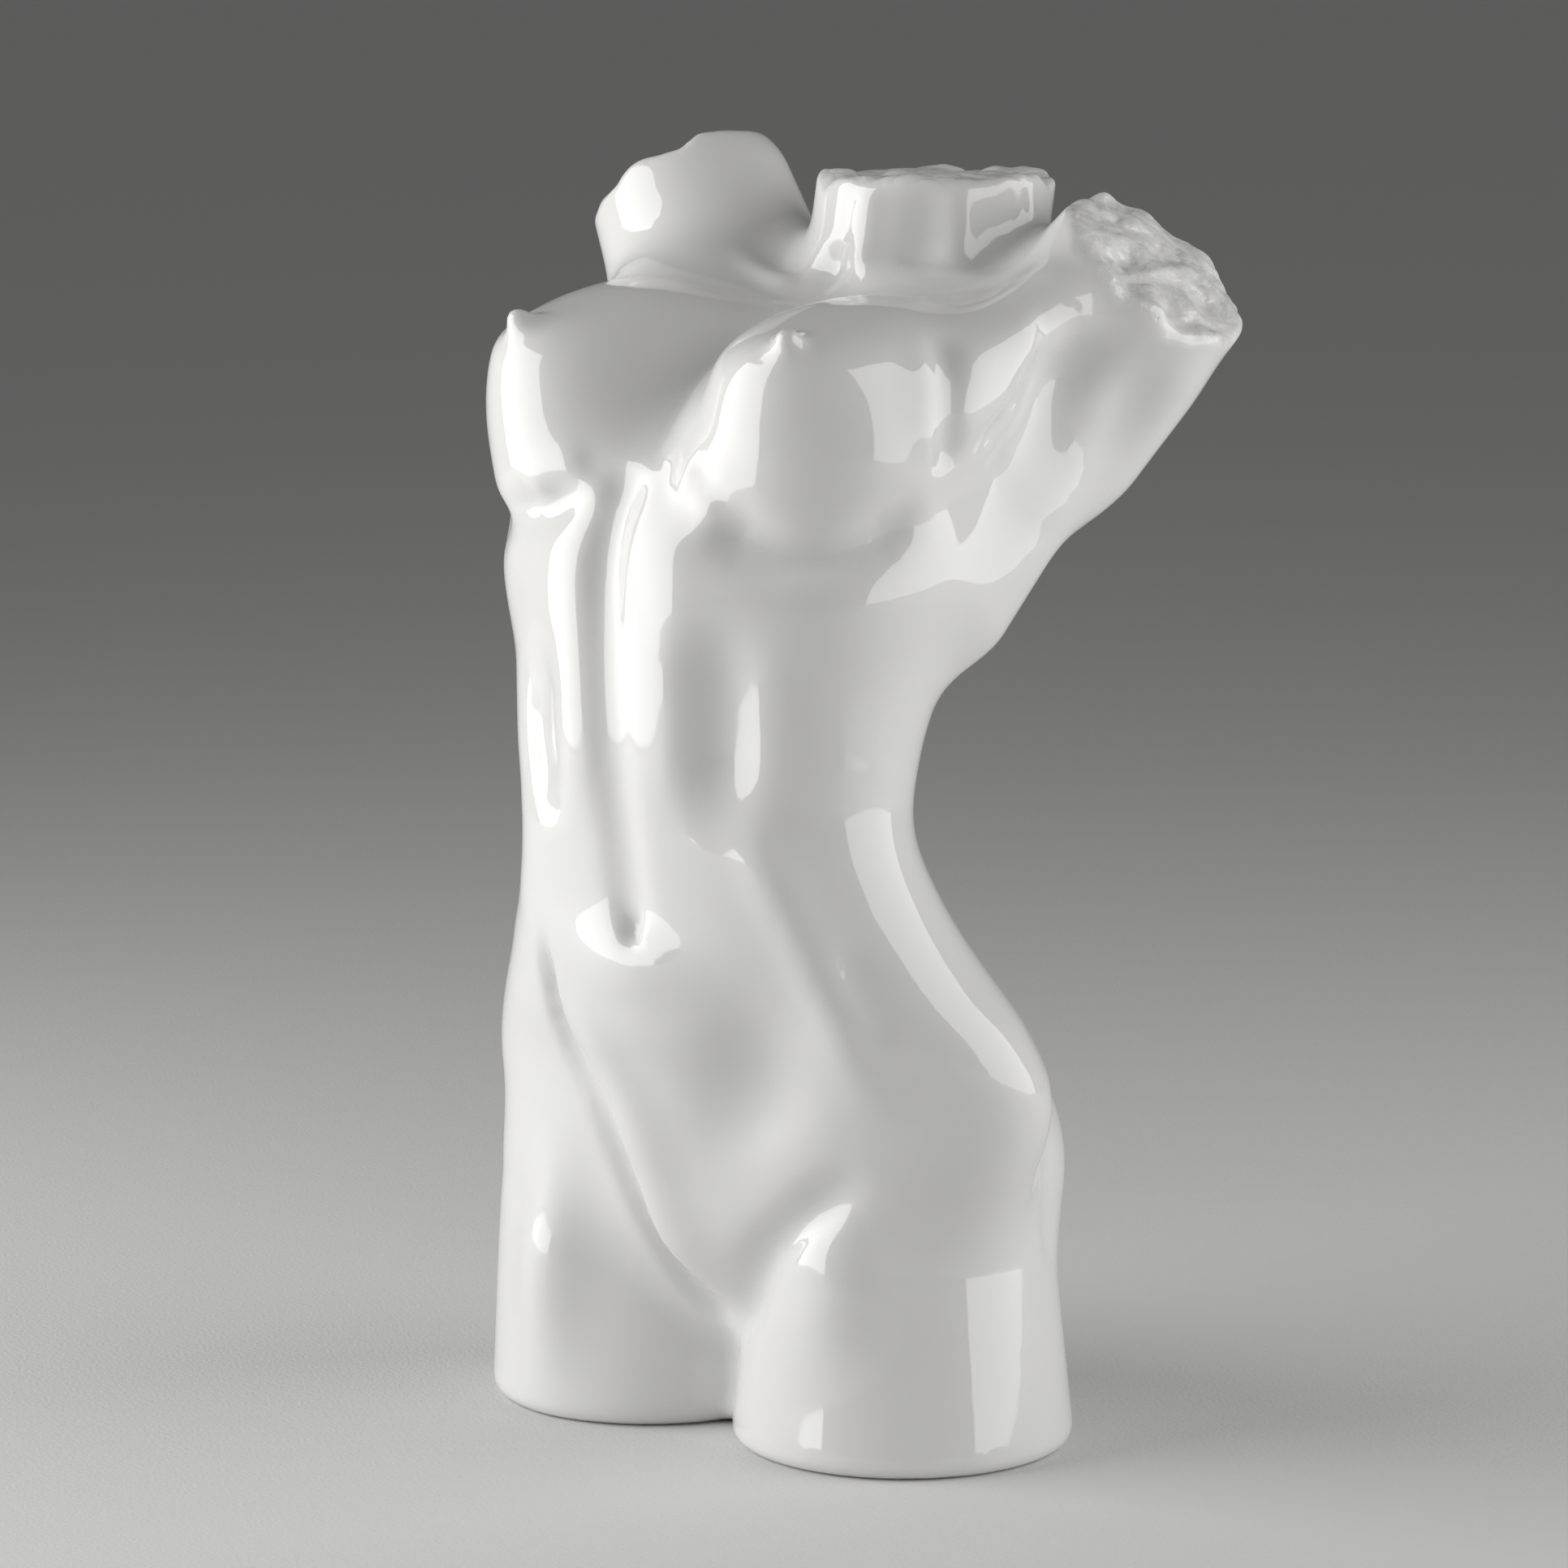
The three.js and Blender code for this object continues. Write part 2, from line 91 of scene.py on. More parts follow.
# smooth curve through stations (at, value, ...): cubic pieces that share their slopes
def through(stations, column, at):
    zs = np.array([s[0] for s in stations], float)
    vs = np.array([s[column] for s in stations], float)
    gap = np.diff(zs)
    slope = np.diff(vs) / gap
    tangent = np.empty_like(vs)
    tangent[1:-1] = (slope[1:] * gap[:-1] + slope[:-1] * gap[1:]) / (gap[1:] + gap[:-1])
    tangent[0], tangent[-1] = slope[0], slope[-1]
    z = np.clip(at, zs[0], zs[-1])
    i = np.clip(np.searchsorted(zs, z, side="right") - 1, 0, len(zs) - 2)
    t = (z - zs[i]) / gap[i]
    return ((1 + 2 * t) * (1 - t) ** 2 * vs[i] + t * (1 - t) ** 2 * gap[i] * tangent[i]
            + t * t * (3 - 2 * t) * vs[i + 1] + t * t * (t - 1) * gap[i] * tangent[i + 1])


# near-distance to an ellipsoid, tipped by pitch about X and then by yaw about Z, in degrees
def egg(p, at, radii, pitch=0, yaw=0):
    a, b = radians(pitch), radians(yaw)
    tipped = np.array([[1, 0, 0], [0, cos(a), -sin(a)], [0, sin(a), cos(a)]])
    turned = np.array([[cos(b), -sin(b), 0], [sin(b), cos(b), 0], [0, 0, 1]])
    q = (p - np.array(at, float)) @ (turned @ tipped)
    r = np.array(radii, float)
    near = np.sqrt(((q / r) ** 2).sum(1))
    steep = np.sqrt(((q / r ** 2) ** 2).sum(1))
    return near * (near - 1) / np.maximum(steep, 1e-9)


# distance to a round limb: distance to its line, less a radius that tapers along it
def limb(p, start, end, startRadius, endRadius):
    start, end = np.array(start, float), np.array(end, float)
    along = end - start
    q = p - start
    t = np.clip((q @ along) / (along @ along), 0, 1)
    off = q - t[:, None] * along
    return np.sqrt((off ** 2).sum(1)) - (startRadius + (endRadius - startRadius) * t)


# distance beyond a plane: how far a point lies from a place on it, along its facing
def beyond(p, at, facing):
    return (p - np.array(at, float)) @ unit(facing)


# lumps between -1 and 1: scattered heights at the corners of cells, smooth between them;
# a corner's height is what is left after the point of a large multiple of a sine
def lumps(p, cell):
    along, large = np.array([12.9898, 78.233, 37.719]), 43758.5453
    base = np.floor(p / cell)
    t = p / cell - base
    t = t * t * (3 - 2 * t)
    total = np.zeros(len(p))
    for corner in np.ndindex(2, 2, 2):
        c = base + corner
        mixed = np.sin(c @ along) * large
        share = np.prod(np.where(corner, t, 1 - t), axis=1)
        total += share * (2 * (mixed - np.floor(mixed)) - 1)
    return total


# a carved line: full depth on a smooth path, fading as a bell over its width and
# towards both ends; a positive depth cuts in, a negative one stands proud
def line(p, depth, width, fade, points):
    stations = [(i / (len(points) - 1), *point) for i, point in enumerate(points)]
    fine = 3 * (len(points) - 1)     # straight pieces, three between two points
    at = np.linspace(0, 1, fine + 1)
    path = np.stack([through(stations, column, at) for column in (1, 2, 3)], 1)
    reach = 2.6 * width              # the bell is a thousandth of its depth there
    inside = ((p > path.min(0) - reach) & (p < path.max(0) + reach)).all(1)
    q = p[inside]
    nearest, place = np.full(len(q), np.inf), np.zeros(len(q))
    for i in range(fine):
        along = path[i + 1] - path[i]
        t = np.clip(((q - path[i]) @ along) / (along @ along), 0, 1)
        off = ((q - path[i] - t[:, None] * along) ** 2).sum(1)
        closer = off < nearest
        nearest = np.where(closer, off, nearest)
        place = np.where(closer, (i + t) / fine, place)
    end = np.clip(np.minimum(place, 1 - place) / fade, 0, 1)
    carved = np.zeros(len(p))
    carved[inside] = depth * np.exp(-nearest / width ** 2) * end * end * (3 - 2 * end)
    return carved


# a carved spot: full depth at its middle, fading as a bell over its three radii
def spot(p, depth, at, radii):
    q = (p - np.array(at, float)) / np.array(radii, float)
    return depth * np.exp(-(q ** 2).sum(1))


# the trunk's stations: height, half width, front, back
trunkStations = [
    (16, 20, -13, 14), (34, 48, -27, 23), (50, 64, -37, 28), (67, 72.5, -42, 29), (90, 75, -47, 27),
    (102, 70, -52.5, 23.5), (115, 62, -57, 19), (130, 54.5, -59, 13), (146, 50, -61, 9),
    (163, 50.5, -63, 13), (184, 53, -64, 25), (207, 58, -63, 38.5), (230, 56, -60, 52),
    (262, 52, -42, 68), (300, 50, -24, 84),
]
# how far the body sways to its left: height, sway
swayStations = [
    (0, -1.5), (60, 0.2), (85, 3), (104, 4.4), (122, 2.4), (150, 0.2), (200, 0), (260, 0), (300, 2),
]
# the rough breaks: a place on each and the way that it faces
leftBreak = ((72.5, 52, 268.8), (0.65, 0.07, 0.76))
rightBreak = ((-67, 51, 289), (-0.58, 0, 0.81))
neckBreak = ((4, 56, 290.5), (-0.02, 0.02, 1))


# trunk: distance to an elliptical section that follows its stations, cut level at the lowest
def trunk(p):
    wide, front, back = (through(trunkStations, column, p[:, 2]) for column in (1, 2, 3))
    middle, deep = (front + back) / 2, (back - front) / 2
    x, y = p[:, 0] / wide, (p[:, 1] - middle) / deep
    near = np.hypot(x, y)
    across = near * (near - 1) / np.maximum(np.hypot(x / wide, y / deep), 1e-9)
    return cut(across, trunkStations[0][0] - p[:, 2], 12)


# relief of a rough break: large lumps, then crumbs folded sharp at zero, then grit
def breakRelief(p, crumbs):
    relief = torsoLook["breakDepth"] * lumps(p, torsoLook["breakCell"])
    if crumbs:
        relief = relief + torsoLook["crumbDepth"] * (0.5 - np.abs(lumps(p + 31, torsoLook["crumbCell"])))
        relief = relief + torsoLook["gritDepth"] * lumps(p + 57, torsoLook["gritCell"])
    return relief


# the plain masses of the body, joined and cut with soft seams; p is the point and q the
# point mirrored to the left side, for what is the same on both sides
def masses(p, q, crumbs):
    # trunk with a flat upper belly, an upper chest that leans back, and the top of the shoulders
    d = cut(trunk(p), beyond(p, (0, -60.4, 180), (0, -1, -0.035)), 7)
    d = cut(d, beyond(p, (0, -27, 249), (0, -0.59, 0.81)), 22)
    d = cut(d, beyond(p, (0, 12, 263), (0, 0.2, 1)), 22)
    # left thigh, right thigh, the web between them and the buttocks
    d = join(d, limb(p, (36.8, -1, -6), (33, 3, 56), 40.8, 34.2), 8)
    d = join(d, limb(p, (-38, -0.5, -6), (-39, 4, 56), 38.3, 38.2), 8)
    d = join(d, limb(p, (-1, 3, -6), (-1, 3, 30), 16, 15), 6)
    d = join(d, egg(q, (29.5, 19, 63), (28, 24, 30), -10), 16)
    # ribs under the breasts, chest muscles, broad back muscles and shoulder blades
    d = join(d, egg(q, (36, -29, 210), (11.8, 17, 23)), 13)
    d = join(d, egg(q, (36, 0, 246), (27, 36, 18)), 14)
    d = join(d, limb(q, (44, 7.5, 197), (63.5, 45, 248.5), 12.4, 10.8), 16)
    d = join(d, egg(q, (25.5, 40, 226), (20.5, 16, 27), -30), 18)
    # arms and neck with their breaks; the right arm is level on top too
    relief = breakRelief(p, crumbs)
    leftArm = limb(p, (46.5, 38, 239.5), (79.8, 58.2, 288.5), 26.8, 24.4)
    d = join(d, cut(leftArm, beyond(p, *leftBreak) + relief, 3), 14)
    rightArm = limb(p, (-32, 35, 236), (-75, 50.5, 298), 28.5, 22.5)
    rightArm = cut(rightArm, beyond(p, *rightBreak) + relief, 3)
    d = join(d, cut(rightArm, beyond(p, (-50, 50, 300), (0.08, 0.2, 1)), 8), 16)
    neck = limb(p, (6, 43, 240), (8, 49, 305), 28, 28)
    d = join(d, cut(neck, beyond(p, *neckBreak) + relief, 3), 14)
    # breasts, level on top, and nipples
    breast = egg(q, (30.5, -24, 237.5), (27.3, 31, 31.5))
    breast = join(breast, egg(q, (34, -32, 246.5), (14, 14.5, 22.5), 45, 6), 14)
    d = join(d, cut(breast, beyond(p, (0, -45, 262.5), (0, -0.15, 1)), 10), 12)
    d = join(d, limb(q, (37, -46, 257), (38.4, -50, 261.3), 3, 2.2), 5)
    # the folds of skin before the left armpit and the right one
    d = join(d, limb(p, (53, -16, 245), (61, 20, 263), 8, 8), 12)
    return join(d, limb(p, (-47, -14, 243), (-44, 20, 256), 9, 10), 18)


# belly: midline groove, the muscles on both sides of it, the hollows beside them and the navel
def bellyCarving(p):
    d = line(p, 3.4, 4.8, 0.08, [(-5, -50, 231), (-6, -58, 212), (-5, -62, 190), (-4, -62, 168),
                                 (-3, -60, 146), (-2.5, -58, 121)])
    d += line(p, -1.4, 9, 0.25, [(-21, -54, 222), (-16, -61, 200), (-15, -62, 172), (-14, -59, 142)])
    d += line(p, -1.6, 9, 0.25, [(8, -54, 226), (13, -61, 206), (15, -62, 175), (14, -59, 145)])
    # the ends of the ribs, left then right
    d += line(p, -1.7, 6, 0.35, [(6, -51, 231), (14, -53, 230), (21, -55, 226), (28, -56, 217)])
    d += line(p, -1.5, 5, 0.3, [(-14, -52, 231), (-25, -54, 226), (-34, -53, 221)])
    # hollows beside the belly muscles, left then right, and a crease on the right
    d += line(p, 5.2, 9.5, 0.35, [(23, -60, 203), (25, -57, 185), (24, -55, 166), (23, -57, 144)])
    d += line(p, 2.8, 7.5, 0.35, [(-28, -56, 198), (-28, -55, 177), (-27, -54, 162), (-24, -56, 144)])
    d += line(p, 1.2, 2.4, 0.3, [(-31, -54, 178), (-30, -54, 165), (-27, -55, 150)])
    # round lower belly, its pad under the navel, the navel and the bead in it
    d += spot(p, -1.6, (-8, -50, 104), (15, 16, 20))
    d += spot(p, -2.4, (-4, -57, 116), (15, 12, 8.5))
    d += spot(p, 4.2, (-2.4, -58, 125), (2.6, 6, 3.2))
    d += spot(p, -1.5, (0.4, -58.5, 125.4), (1.5, 6, 1.7))
    return d


# hips and groins
def groinCarving(p):
    # ridges from the waist to the hips, the hollow inside the left one and the dip behind it
    d = line(p, -3, 7, 0.3, [(30, -52, 158), (34, -53, 144), (39, -50, 130), (44, -46, 115),
                             (48, -39, 97), (55, -32, 80)])
    d += line(p, -0.8, 8, 0.3, [(-34, -50, 158), (-38, -48, 138), (-44, -42, 117)])
    d += line(p, 6.4, 12.5, 0.5, [(28, -55, 128), (26, -50, 108), (22, -46, 91), (14, -43, 75),
                                  (6, -40, 56)])
    d += line(p, 1.8, 6.5, 0.35, [(46, -46, 128), (51, -41, 111), (55, -34, 92)])
    # the right groin is a sharp crease beside a ridge, over a fuller thigh
    d += line(p, 3.6, 3.2, 0.1, [(-32, -51, 124), (-35, -45, 105), (-32, -43, 92), (-24, -42, 79),
                                 (-18, -40, 68), (-13, -37, 57), (-8, -30, 43), (-3, -25, 33),
                                 (3, -21, 26)])
    d += line(p, -2.4, 7, 0.25, [(-25, -53, 114), (-22, -48, 96), (-14, -46, 80), (-8, -42, 66),
                                 (-2, -34, 48), (3, -27, 36)])
    d += spot(p, -5, (-41, -38, 38), (10, 14, 23))
    # the left groin is a soft valley over a full thigh
    d += line(p, 3.4, 5.5, 0.25, [(5, -22, 26), (12, -28, 33), (18, -32, 43), (26, -35, 52),
                                  (38, -36, 63), (50, -35, 74)])
    d += spot(p, -5.6, (42, -36, 44), (14, 12, 15))
    return d


# chest: the folds under the breasts, the crease beside the left one, and the armpits
def chestCarving(p):
    d = line(p, 1.3, 3.4, 0.4, [(12, -51, 237), (18, -54, 230), (25, -57, 225), (34, -57, 220)])
    d += line(p, 4, 5.5, 0.25, [(20, -54, 221), (30, -54, 215), (42, -46, 212), (52, -35, 216),
                                (57, -23, 225)])
    d += line(p, 2.6, 5.5, 0.25, [(-12, -54, 226), (-25, -54, 221), (-38, -50, 216), (-48, -43, 214),
                                  (-56, -28, 222)])
    d += line(p, 2.2, 4, 0.25, [(55, -14, 263), (60, -19, 256), (63, -22, 246), (61, -20, 236),
                                (60, -18, 229)])
    # left armpit: the edge of the chest muscle, the crease under it and the two hollows
    d += line(p, -2, 5, 0.3, [(57, -18, 250), (62, -4, 257), (67, 10, 262)])
    d += line(p, 2.2, 2.8, 0.35, [(61, -11, 232), (62, -6, 237), (64, 0, 243), (66, 7, 252),
                                  (68, 11, 261)])
    d += line(p, 5, 9, 0.4, [(72, 18, 266), (70, 17, 254), (68, 15, 243), (67, 16, 230), (66, 18, 216)])
    d += line(p, 5, 10, 0.5, [(80, 30, 266), (77, 33, 254), (73, 34, 243), (69, 31, 230),
                              (66, 27, 217), (62, 20, 204)])
    # right armpit
    d += line(p, 3.5, 10, 0.35, [(-66, 18, 252), (-63, 16, 240), (-58, 10, 226)])
    return d


# neck: pit, the hollow between two tendons, the tendons, and the collar bones on both sides
def neckCarving(p, q):
    d = spot(p, 2.4, (0, 18, 270), (5, 6, 5))
    d += line(p, 1.6, 5, 0.25, [(21, 17, 270), (23, 21, 279), (23, 21, 291)])
    d += line(p, -1.6, 4.5, 0.25, [(8, 14, 268), (9, 16, 279), (9, 16, 292)])
    d += line(p, -1.4, 5, 0.25, [(29, 24, 270), (30, 26, 281), (30, 26, 292)])
    d += line(q, -1.5, 3.5, 0.3, [(6, 14, 267), (22, 19, 268), (48, 30, 267)])
    return d


# back: spine furrow, cleft and folds of the buttocks, dips and creases at their sides
def backCarving(p, q):
    d = line(p, 2.6, 8, 0.2, [(0, 62, 240), (0, 38, 200), (0, 14, 160), (0, 12, 135), (0, 26, 105)])
    d += line(p, 6, 6, 0.2, [(0, 34, 92), (0, 42, 70), (0, 36, 48), (0, 18, 30)])
    d += line(q, 2.5, 5, 0.35, [(10, 30, 40), (30, 37, 40), (50, 30, 46)])
    d += spot(q, 1.6, (64, 8, 68), (9, 12, 22))
    d += line(q, 2.8, 2.6, 0.3, [(65, 14, 74), (67, 14, 64), (68, 14, 54), (69, 15, 42)])
    return d


# the carving: how far all the lines and spots cut in, added up
def carving(p, q):
    return bellyCarving(p) + groinCarving(p) + chestCarving(p) + neckCarving(p, q) + backCarving(p, q)


carvingReach = 9           # parts, the carving is worked out this near to the masses' surface


# distance to the finished surface: masses, then carving near it, then the flat base
def figure(point, crumbs=False):
    p = point.copy()
    p[:, 0] -= through(swayStations, 1, p[:, 2])
    q = p.copy()
    q[:, 0] = np.abs(q[:, 0])
    d = masses(p, q, crumbs)
    near = np.abs(d) < carvingReach
    d[near] += carving(p[near], q[near])
    return cut(d, -p[:, 2], torsoLook["baseRounding"])


# the field's value on a grid, worked out finely only where the surface is near
def fieldOnGrid(low, high, cell):
    coarse = 4                       # fine cells to the side of a coarse one
    reach = 2.6 * cell * coarse      # a coarse corner this near has the surface around it
    far = 1e3                        # parts, stands for what isn't worked out
    count = np.ceil((high - low) / (cell * coarse)).astype(int) + 1
    axes = [low[k] + cell * coarse * np.arange(count[k]) for k in range(3)]
    rough = figure(np.stack(np.meshgrid(*axes, indexing="ij"), -1).reshape(-1, 3)).reshape(count)
    pick = np.ix_(*[np.round(np.arange((n - 1) * coarse + 1) / coarse).astype(int) for n in count])
    value = np.where(rough > 0, far, -far)[pick]
    spots = np.argwhere((np.abs(rough) < reach)[pick])
    value[tuple(spots.T)] = figure(low + cell * spots)
    return value


# surface in a grid: a vertex in each crossed cell, at the mean of its edges' crossings,
# and a square across each crossed edge of the grid
def surfaceIn(value, low, cell):
    count = np.array(value.shape)
    inside = value < 0
    held = sum(inside[i:count[0] - 1 + i, j:count[1] - 1 + j, k:count[2] - 1 + k].astype(int)
               for i, j, k in np.ndindex(2, 2, 2))
    crossed = (held > 0) & (held < 8)
    number = np.full(count - 1, -1)
    number[crossed] = np.arange(crossed.sum())
    total, share = np.zeros((crossed.sum(), 3)), np.zeros(crossed.sum())
    squares = []
    for axis in range(3):
        step = np.eye(3, dtype=int)[axis]
        a = value[:count[0] - step[0], :count[1] - step[1], :count[2] - step[2]]
        b = value[step[0]:, step[1]:, step[2]:]
        cross = (a < 0) != (b < 0)
        at = np.argwhere(cross)
        place = at.astype(float)
        place[:, axis] += a[cross] / (a[cross] - b[cross])
        u, v = (axis + 1) % 3, (axis + 2) % 3
        ring = []
        for du, dv in ((0, 0), (1, 0), (1, 1), (0, 1)):
            around = at.copy()
            around[:, u] -= du
            around[:, v] -= dv
            vertex = number[tuple(around.T)]
            np.add.at(total, vertex, place)
            np.add.at(share, vertex, 1)
            ring.append(vertex)
        ring = np.stack(ring, 1)
        ring[a[cross] > 0] = ring[a[cross] > 0][:, ::-1]
        squares.append(ring)
    return total / share[:, None] * cell + low, np.concatenate(squares)


# slope of the field, from four probes at the corners of a small pyramid
def slopeAt(points, crumbs, reach=0.06):
    slope = np.zeros_like(points)
    for corner in ((1, -1, -1), (-1, -1, 1), (-1, 1, -1), (1, 1, 1)):
        corner = np.array(corner, float)
        slope += corner * figure(points + reach * corner, crumbs)[:, None]
    return slope / (4 * reach)


# moves vertices straight onto the surface, by the field over its slope, one part at most
def settle(points, rounds, crumbs=False):
    leastSlope = 0.1                 # squared; it keeps a flat spot from throwing a vertex far
    for _ in range(rounds):
        slope = slopeAt(points, crumbs)
        steep = np.maximum((slope ** 2).sum(1), leastSlope)
        move = figure(points, crumbs)[:, None] * slope / steep[:, None]
        far = np.sqrt((move ** 2).sum(1))[:, None]
        points = points - move * np.minimum(1, 1 / np.maximum(far, 1e-9))
    return points


# each vertex halfway to the mean of its neighbours along the edges of the faces
def halfwayToNeighbours(points, faces):
    corners = faces.shape[1]
    ends = np.concatenate([faces[:, [k, (k + 1) % corners]] for k in range(corners)])
    total, share = np.zeros_like(points), np.zeros(len(points))
    for a, b in ((0, 1), (1, 0)):
        np.add.at(total, ends[:, a], points[ends[:, b]])
        np.add.at(share, ends[:, a], 1)
    return 0.5 * points + 0.5 * total / share[:, None]


# evens the squares: each vertex towards its neighbours, then back on the surface
def relax(points, squares, rounds):
    for _ in range(rounds):
        points = settle(halfwayToNeighbours(points, squares), 1)
    return points


# splits the marked triangles in four at the middles of their edges, and their
# neighbours to match, so that the surface stays closed
def refine(points, faces, marked):
    count = len(points)
    edges = np.sort(np.stack([faces, np.roll(faces, -1, 1)], -1), -1)
    keys = edges[..., 0] * count + edges[..., 1]
    split = np.unique(keys[marked])
    middles = (points[split // count] + points[split % count]) / 2
    found = np.clip(np.searchsorted(split, keys), 0, len(split) - 1)
    middle = np.where(split[found] == keys, count + found, -1)
    opened = (middle >= 0).sum(1)
    result = [faces[opened == 0]]
    for k in range(3):
        a, b, c = (faces[:, (k + n) % 3] for n in range(3))
        ab, bc, ca = (middle[:, (k + n) % 3] for n in range(3))
        one = (opened == 1) & (ab >= 0)
        result += [np.stack([a, ab, c], 1)[one], np.stack([ab, b, c], 1)[one]]
        two = (opened == 2) & (ca < 0)
        result += [np.stack(corners, 1)[two] for corners in ((a, ab, c), (ab, bc, c), (ab, b, bc))]
        if k == 0:
            full = opened == 3
            four = ((a, ab, ca), (ab, b, bc), (bc, c, ca), (ab, bc, ca))
            result += [np.stack(corners, 1)[full] for corners in four]
    return np.concatenate([points, middles]), np.concatenate(result)


# share of a broken end at each point: 1 on a break's face, 0 a few parts below its rim
def brokenShare(points, below):
    share = np.zeros(len(points))
    # each stump's middle line, a radius that takes in its rim, and its break
    stumps = [((42.8, 36, 234.3), (79.5, 58, 288.5), 28, leftBreak),
              ((-32, 35, 236), (-75, 50.5, 298), 30, rightBreak),
              ((6, 43, 240), (8, 49, 305), 30, neckBreak)]
    for start, end, radius, face in stumps:
        inLimb = limb(points, start, end, radius, radius) < 0
        above = np.clip(1 + beyond(points, *face) / below, 0, 1)
        share = np.maximum(share, np.where(inLimb, above, 0))
    return share * share * (3 - 2 * share)


# the torso's vertices and triangles, in parts: the surface in a grid, evened, each square
# halved by its shorter diagonal, and the breaks split twice to hold their crumbs
def torsoSurface():
    cell = torsoLook["cell"] * 1
    low, high = np.array(torsoLook["searchLow"]), np.array(torsoLook["searchHigh"])
    points, squares = surfaceIn(fieldOnGrid(low, high, cell), low, cell)
    points = relax(settle(points, 2), squares, 2)
    a, b, c, d = squares.T
    short = ((points[a] - points[c]) ** 2).sum(1) < ((points[b] - points[d]) ** 2).sum(1)
    first = np.where(short[:, None], np.stack([a, b, c], 1), np.stack([a, b, d], 1))
    second = np.where(short[:, None], np.stack([a, c, d], 1), np.stack([b, c, d], 1))
    faces = np.concatenate([first, second])
    print("body surface", len(points), "vertices", len(faces), "faces")
    for below in (6.0, 3.0):         # parts below the rim, wider then closer
        onBreak = brokenShare(points[faces].mean(1), below) > 0.02
        points, faces = refine(points, faces, onBreak)
    points = settle(points, 3, crumbs=True)
    print("with the breaks", len(points), "vertices", len(faces), "faces")
    return points, faces


# share of a hollow at each vertex, 1 in a full one and -1 on such a ridge: how far the surface
# stands out when it is evened, over a full hollow's depth
def hollowShare(points, faces, rounds=6):
    normal = slopeAt(points, False)
    normal /= np.sqrt((normal ** 2).sum(1))[:, None]
    evened = points
    for _ in range(rounds):
        evened = halfwayToNeighbours(evened, faces)
    return np.clip(((evened - points) * normal).sum(1) / torsoLook["fullHollow"], -1, 1)


# the torso's object: its surface in metres, with the shares of break and hollow as
# attributes that the glaze reads, the hollow one for its painted shade
def makeTorso():
    points, faces = torsoSurface()
    mesh = bpy.data.meshes.new("torsoSurface")
    mesh.vertices.add(len(points))
    mesh.vertices.foreach_set("co", (points * partLength).astype(np.float32).ravel())
    mesh.loops.add(faces.size)
    mesh.loops.foreach_set("vertex_index", faces.astype(np.int32).ravel())
    mesh.polygons.add(len(faces))
    mesh.polygons.foreach_set("loop_start", np.arange(0, faces.size, 3, dtype=np.int32))
    mesh.polygons.foreach_set("use_smooth", np.ones(len(faces), bool))
    shares = {"broken": brokenShare(points, 2.0), "hollow": hollowShare(points, faces)}
    for name, share in shares.items():
        attribute = mesh.attributes.new(name, "FLOAT", "POINT")
        attribute.data.foreach_set("value", share.astype(np.float32))
    mesh.update(calc_edges=True)
    made = bpy.data.objects.new("porcelainTorso", mesh)
    bpy.context.scene.collection.objects.link(made)
    return made


torso = makeTorso()
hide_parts("torso")
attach(torso, "root")
print("torso made")


# a new material's node tree, its shader and a helper that adds and links nodes
def startMaterial(name):
    material = bpy.data.materials.new(name)
    material.use_nodes = True
    tree = material.node_tree
    tree.nodes.clear()
    output = tree.nodes.new("ShaderNodeOutputMaterial")
    shader = tree.nodes.new("ShaderNodeBsdfPrincipled")
    tree.links.new(shader.outputs["BSDF"], output.inputs["Surface"])

    def add(kind, inputs=(), **settings):
        node = tree.nodes.new("ShaderNode" + kind)
        for key, value in settings.items():
            setattr(node, key, value)
        for key, value in dict(inputs).items():
            if isinstance(value, bpy.types.NodeSocket):
                tree.links.new(value, node.inputs[key])
            else:
                node.inputs[key].default_value = value
        return node
    return material, tree, shader, add
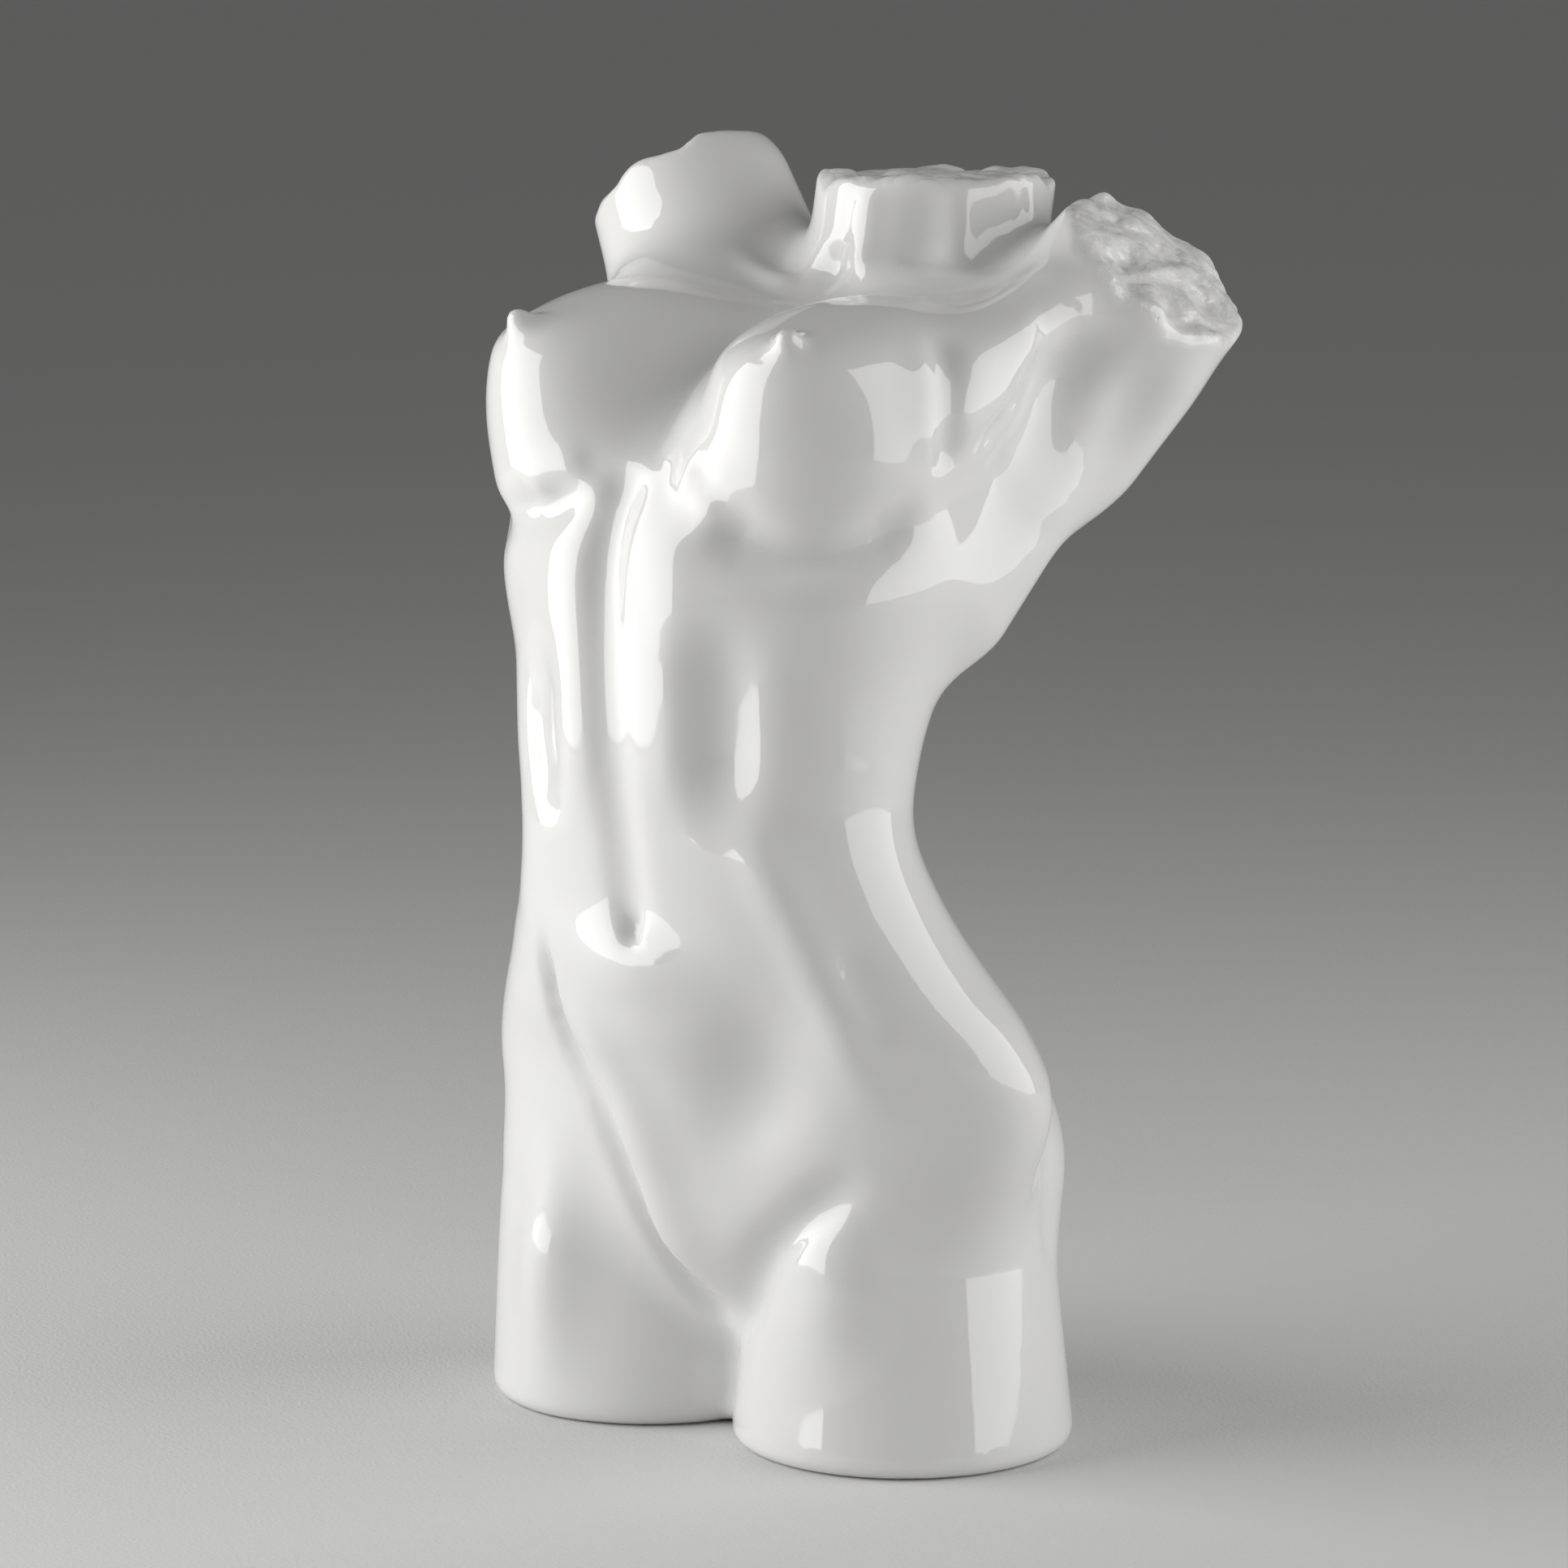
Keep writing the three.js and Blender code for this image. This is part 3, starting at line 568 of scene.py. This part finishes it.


# glazed porcelain: a clear smooth glaze that waves a little, has painted shade that makes it
# darker in the hollows, and is duller, warmer and finely pitted on the broken ends
def porcelain():
    material, tree, shader, add = startMaterial("glazedPorcelain")
    place = add("TexCoord").outputs["Object"]
    broken = add("Attribute", attribute_name="broken").outputs["Fac"]
    hollow = add("Attribute", attribute_name="hollow").outputs["Fac"]
    cloud = add("TexNoise", {"Vector": place, "Scale": torsoLook["cloudScale"], "Detail": 2.0})
    colour = add("Mix", {"Factor": cloud.outputs["Fac"], "A": (*torsoLook["glaze"], 1),
                         "B": (*torsoLook["warmGlaze"], 1)}, data_type="RGBA")
    # painted shade: the glaze is darkened towards a grey in the hollows, by their hollow share
    paintedShade = add("MapRange", {"Value": hollow, "To Max": torsoLook["paintedShadeShare"]})
    colour = add("Mix", {"Factor": paintedShade.outputs[0], "A": colour.outputs["Result"],
                         "B": (*torsoLook["paintedShadeGlaze"], 1)}, data_type="RGBA")
    colour = add("Mix", {"Factor": broken, "A": colour.outputs["Result"],
                         "B": (*torsoLook["brokenGlaze"], 1)}, data_type="RGBA")
    tree.links.new(colour.outputs["Result"], shader.inputs["Base Color"])
    rough = add("MapRange", {"Value": broken, "To Min": torsoLook["glazeRoughness"],
                             "To Max": torsoLook["brokenRoughness"]})
    tree.links.new(rough.outputs[0], shader.inputs["Roughness"])
    shader.inputs["IOR"].default_value = torsoLook["glazeIndex"]
    wave = add("TexNoise", {"Vector": place, "Scale": torsoLook["rippleScale"], "Detail": 1.0})
    ripple = add("Bump", {"Height": wave.outputs["Fac"], "Strength": torsoLook["rippleStrength"],
                          "Distance": torsoLook["rippleDepth"]})
    pit = add("TexNoise", {"Vector": place, "Scale": torsoLook["pitScale"], "Detail": 3.0})
    pitted = add("Bump", {"Height": pit.outputs["Fac"], "Strength": broken,
                          "Distance": torsoLook["pitDepth"], "Normal": ripple.outputs["Normal"]})
    tree.links.new(pitted.outputs["Normal"], shader.inputs["Normal"])
    return material


torso.data.materials.append(porcelain())
print("porcelain made")

# What a user would change about the studio; metres and watts. A soft box's place is given
# as the camera sees it: to the right of the torso, nearer the camera than it, and high
studioLook = {
    "floorSide": 14.0,
    "floorColour": (0.74, 0.74, 0.73),
    "floorRoughness": 0.9,
    "grainScale": 900.0,
    "grainDepth": 0.0005,
    "grainStrength": 0.3,
    "world": 0.14,
    "keyBox": {"right": -0.72, "near": 0.10, "high": 0.42, "width": 0.80, "tall": 0.83, "power": 7.0},
    "fillBox": {"right": 0.78, "near": 0.20, "high": 0.45, "width": 0.85, "tall": 0.89, "power": 5.4},
    "azimuth": 37.0,          # degrees, the camera's place round from the front
    "dip": 9.5,               # degrees below level
    "distance": 1.5,
    "cameraHeight": 0.402,
    "fieldOfView": 13.7,      # degrees
    "sensor": 24.0,           # millimetres
}


# floor: one large square under the feet with the grain of matt paper
def makeFloor():
    half = studioLook["floorSide"] / 2
    corners = [(-half, -half, 0), (half, -half, 0), (half, half, 0), (-half, half, 0)]
    floorMesh = bpy.data.meshes.new("floorSurface")
    floorMesh.from_pydata(corners, [], [(0, 1, 2, 3)])
    floor = bpy.data.objects.new("floor", floorMesh)
    bpy.context.scene.collection.objects.link(floor)
    material, tree, shader, add = startMaterial("mattPaper")
    place = add("TexCoord").outputs["Object"]
    grain = add("TexNoise", {"Vector": place, "Scale": studioLook["grainScale"], "Detail": 3.0})
    bump = add("Bump", {"Height": grain.outputs["Fac"], "Strength": studioLook["grainStrength"],
                        "Distance": studioLook["grainDepth"]})
    tree.links.new(bump.outputs["Normal"], shader.inputs["Normal"])
    shader.inputs["Base Color"].default_value = (*studioLook["floorColour"], 1)
    shader.inputs["Roughness"].default_value = studioLook["floorRoughness"]
    floorMesh.materials.append(material)


makeFloor()
turn = radians(studioLook["azimuth"])
toRight = np.array([cos(turn), sin(turn), 0])      # to the right in the picture
toCamera = np.array([sin(turn), -cos(turn), 0])
up = np.array([0, 0, 1.0])


# points an object's -Z at a target, with its +Y as upright as it goes
def aim(thing, place, target):
    thing.location = place
    thing.rotation_euler = Vector(target - place).to_track_quat("-Z", "Y").to_euler()


# a soft box: a large upright rectangle of light that stands just off the floor and faces
# the torso's upright middle line
def softBox(name, right, near, high, width, tall, power):
    lamp = bpy.data.lights.new(name, "AREA")
    lamp.shape, lamp.size, lamp.size_y, lamp.energy = "RECTANGLE", width, tall, power
    box = bpy.data.objects.new(name, lamp)
    bpy.context.scene.collection.objects.link(box)
    aim(box, right * toRight + near * toCamera + high * up, high * up)


for name in ("keyBox", "fillBox"):
    softBox(name, **studioLook[name])
world = bpy.data.worlds.new("studio")
world.use_nodes = True
shade = studioLook["world"]
world.node_tree.nodes["Background"].inputs["Color"].default_value = (shade, shade, shade, 1)
bpy.context.scene.world = world
bpy.context.scene.view_settings.view_transform = "Standard"

lens = bpy.data.cameras.new("photoCamera")
lens.sensor_width = studioLook["sensor"]
lens.lens = studioLook["sensor"] / 2 / tan(radians(studioLook["fieldOfView"] / 2))
lens.clip_start, lens.clip_end = 0.01, 50
camera = bpy.data.objects.new("photoCamera", lens)
bpy.context.scene.collection.objects.link(camera)
station = studioLook["distance"] * toCamera + studioLook["cameraHeight"] * up
dip = radians(studioLook["dip"])
aim(camera, station, station - cos(dip) * toCamera - sin(dip) * up)
bpy.context.scene.camera = camera
print("studio made")
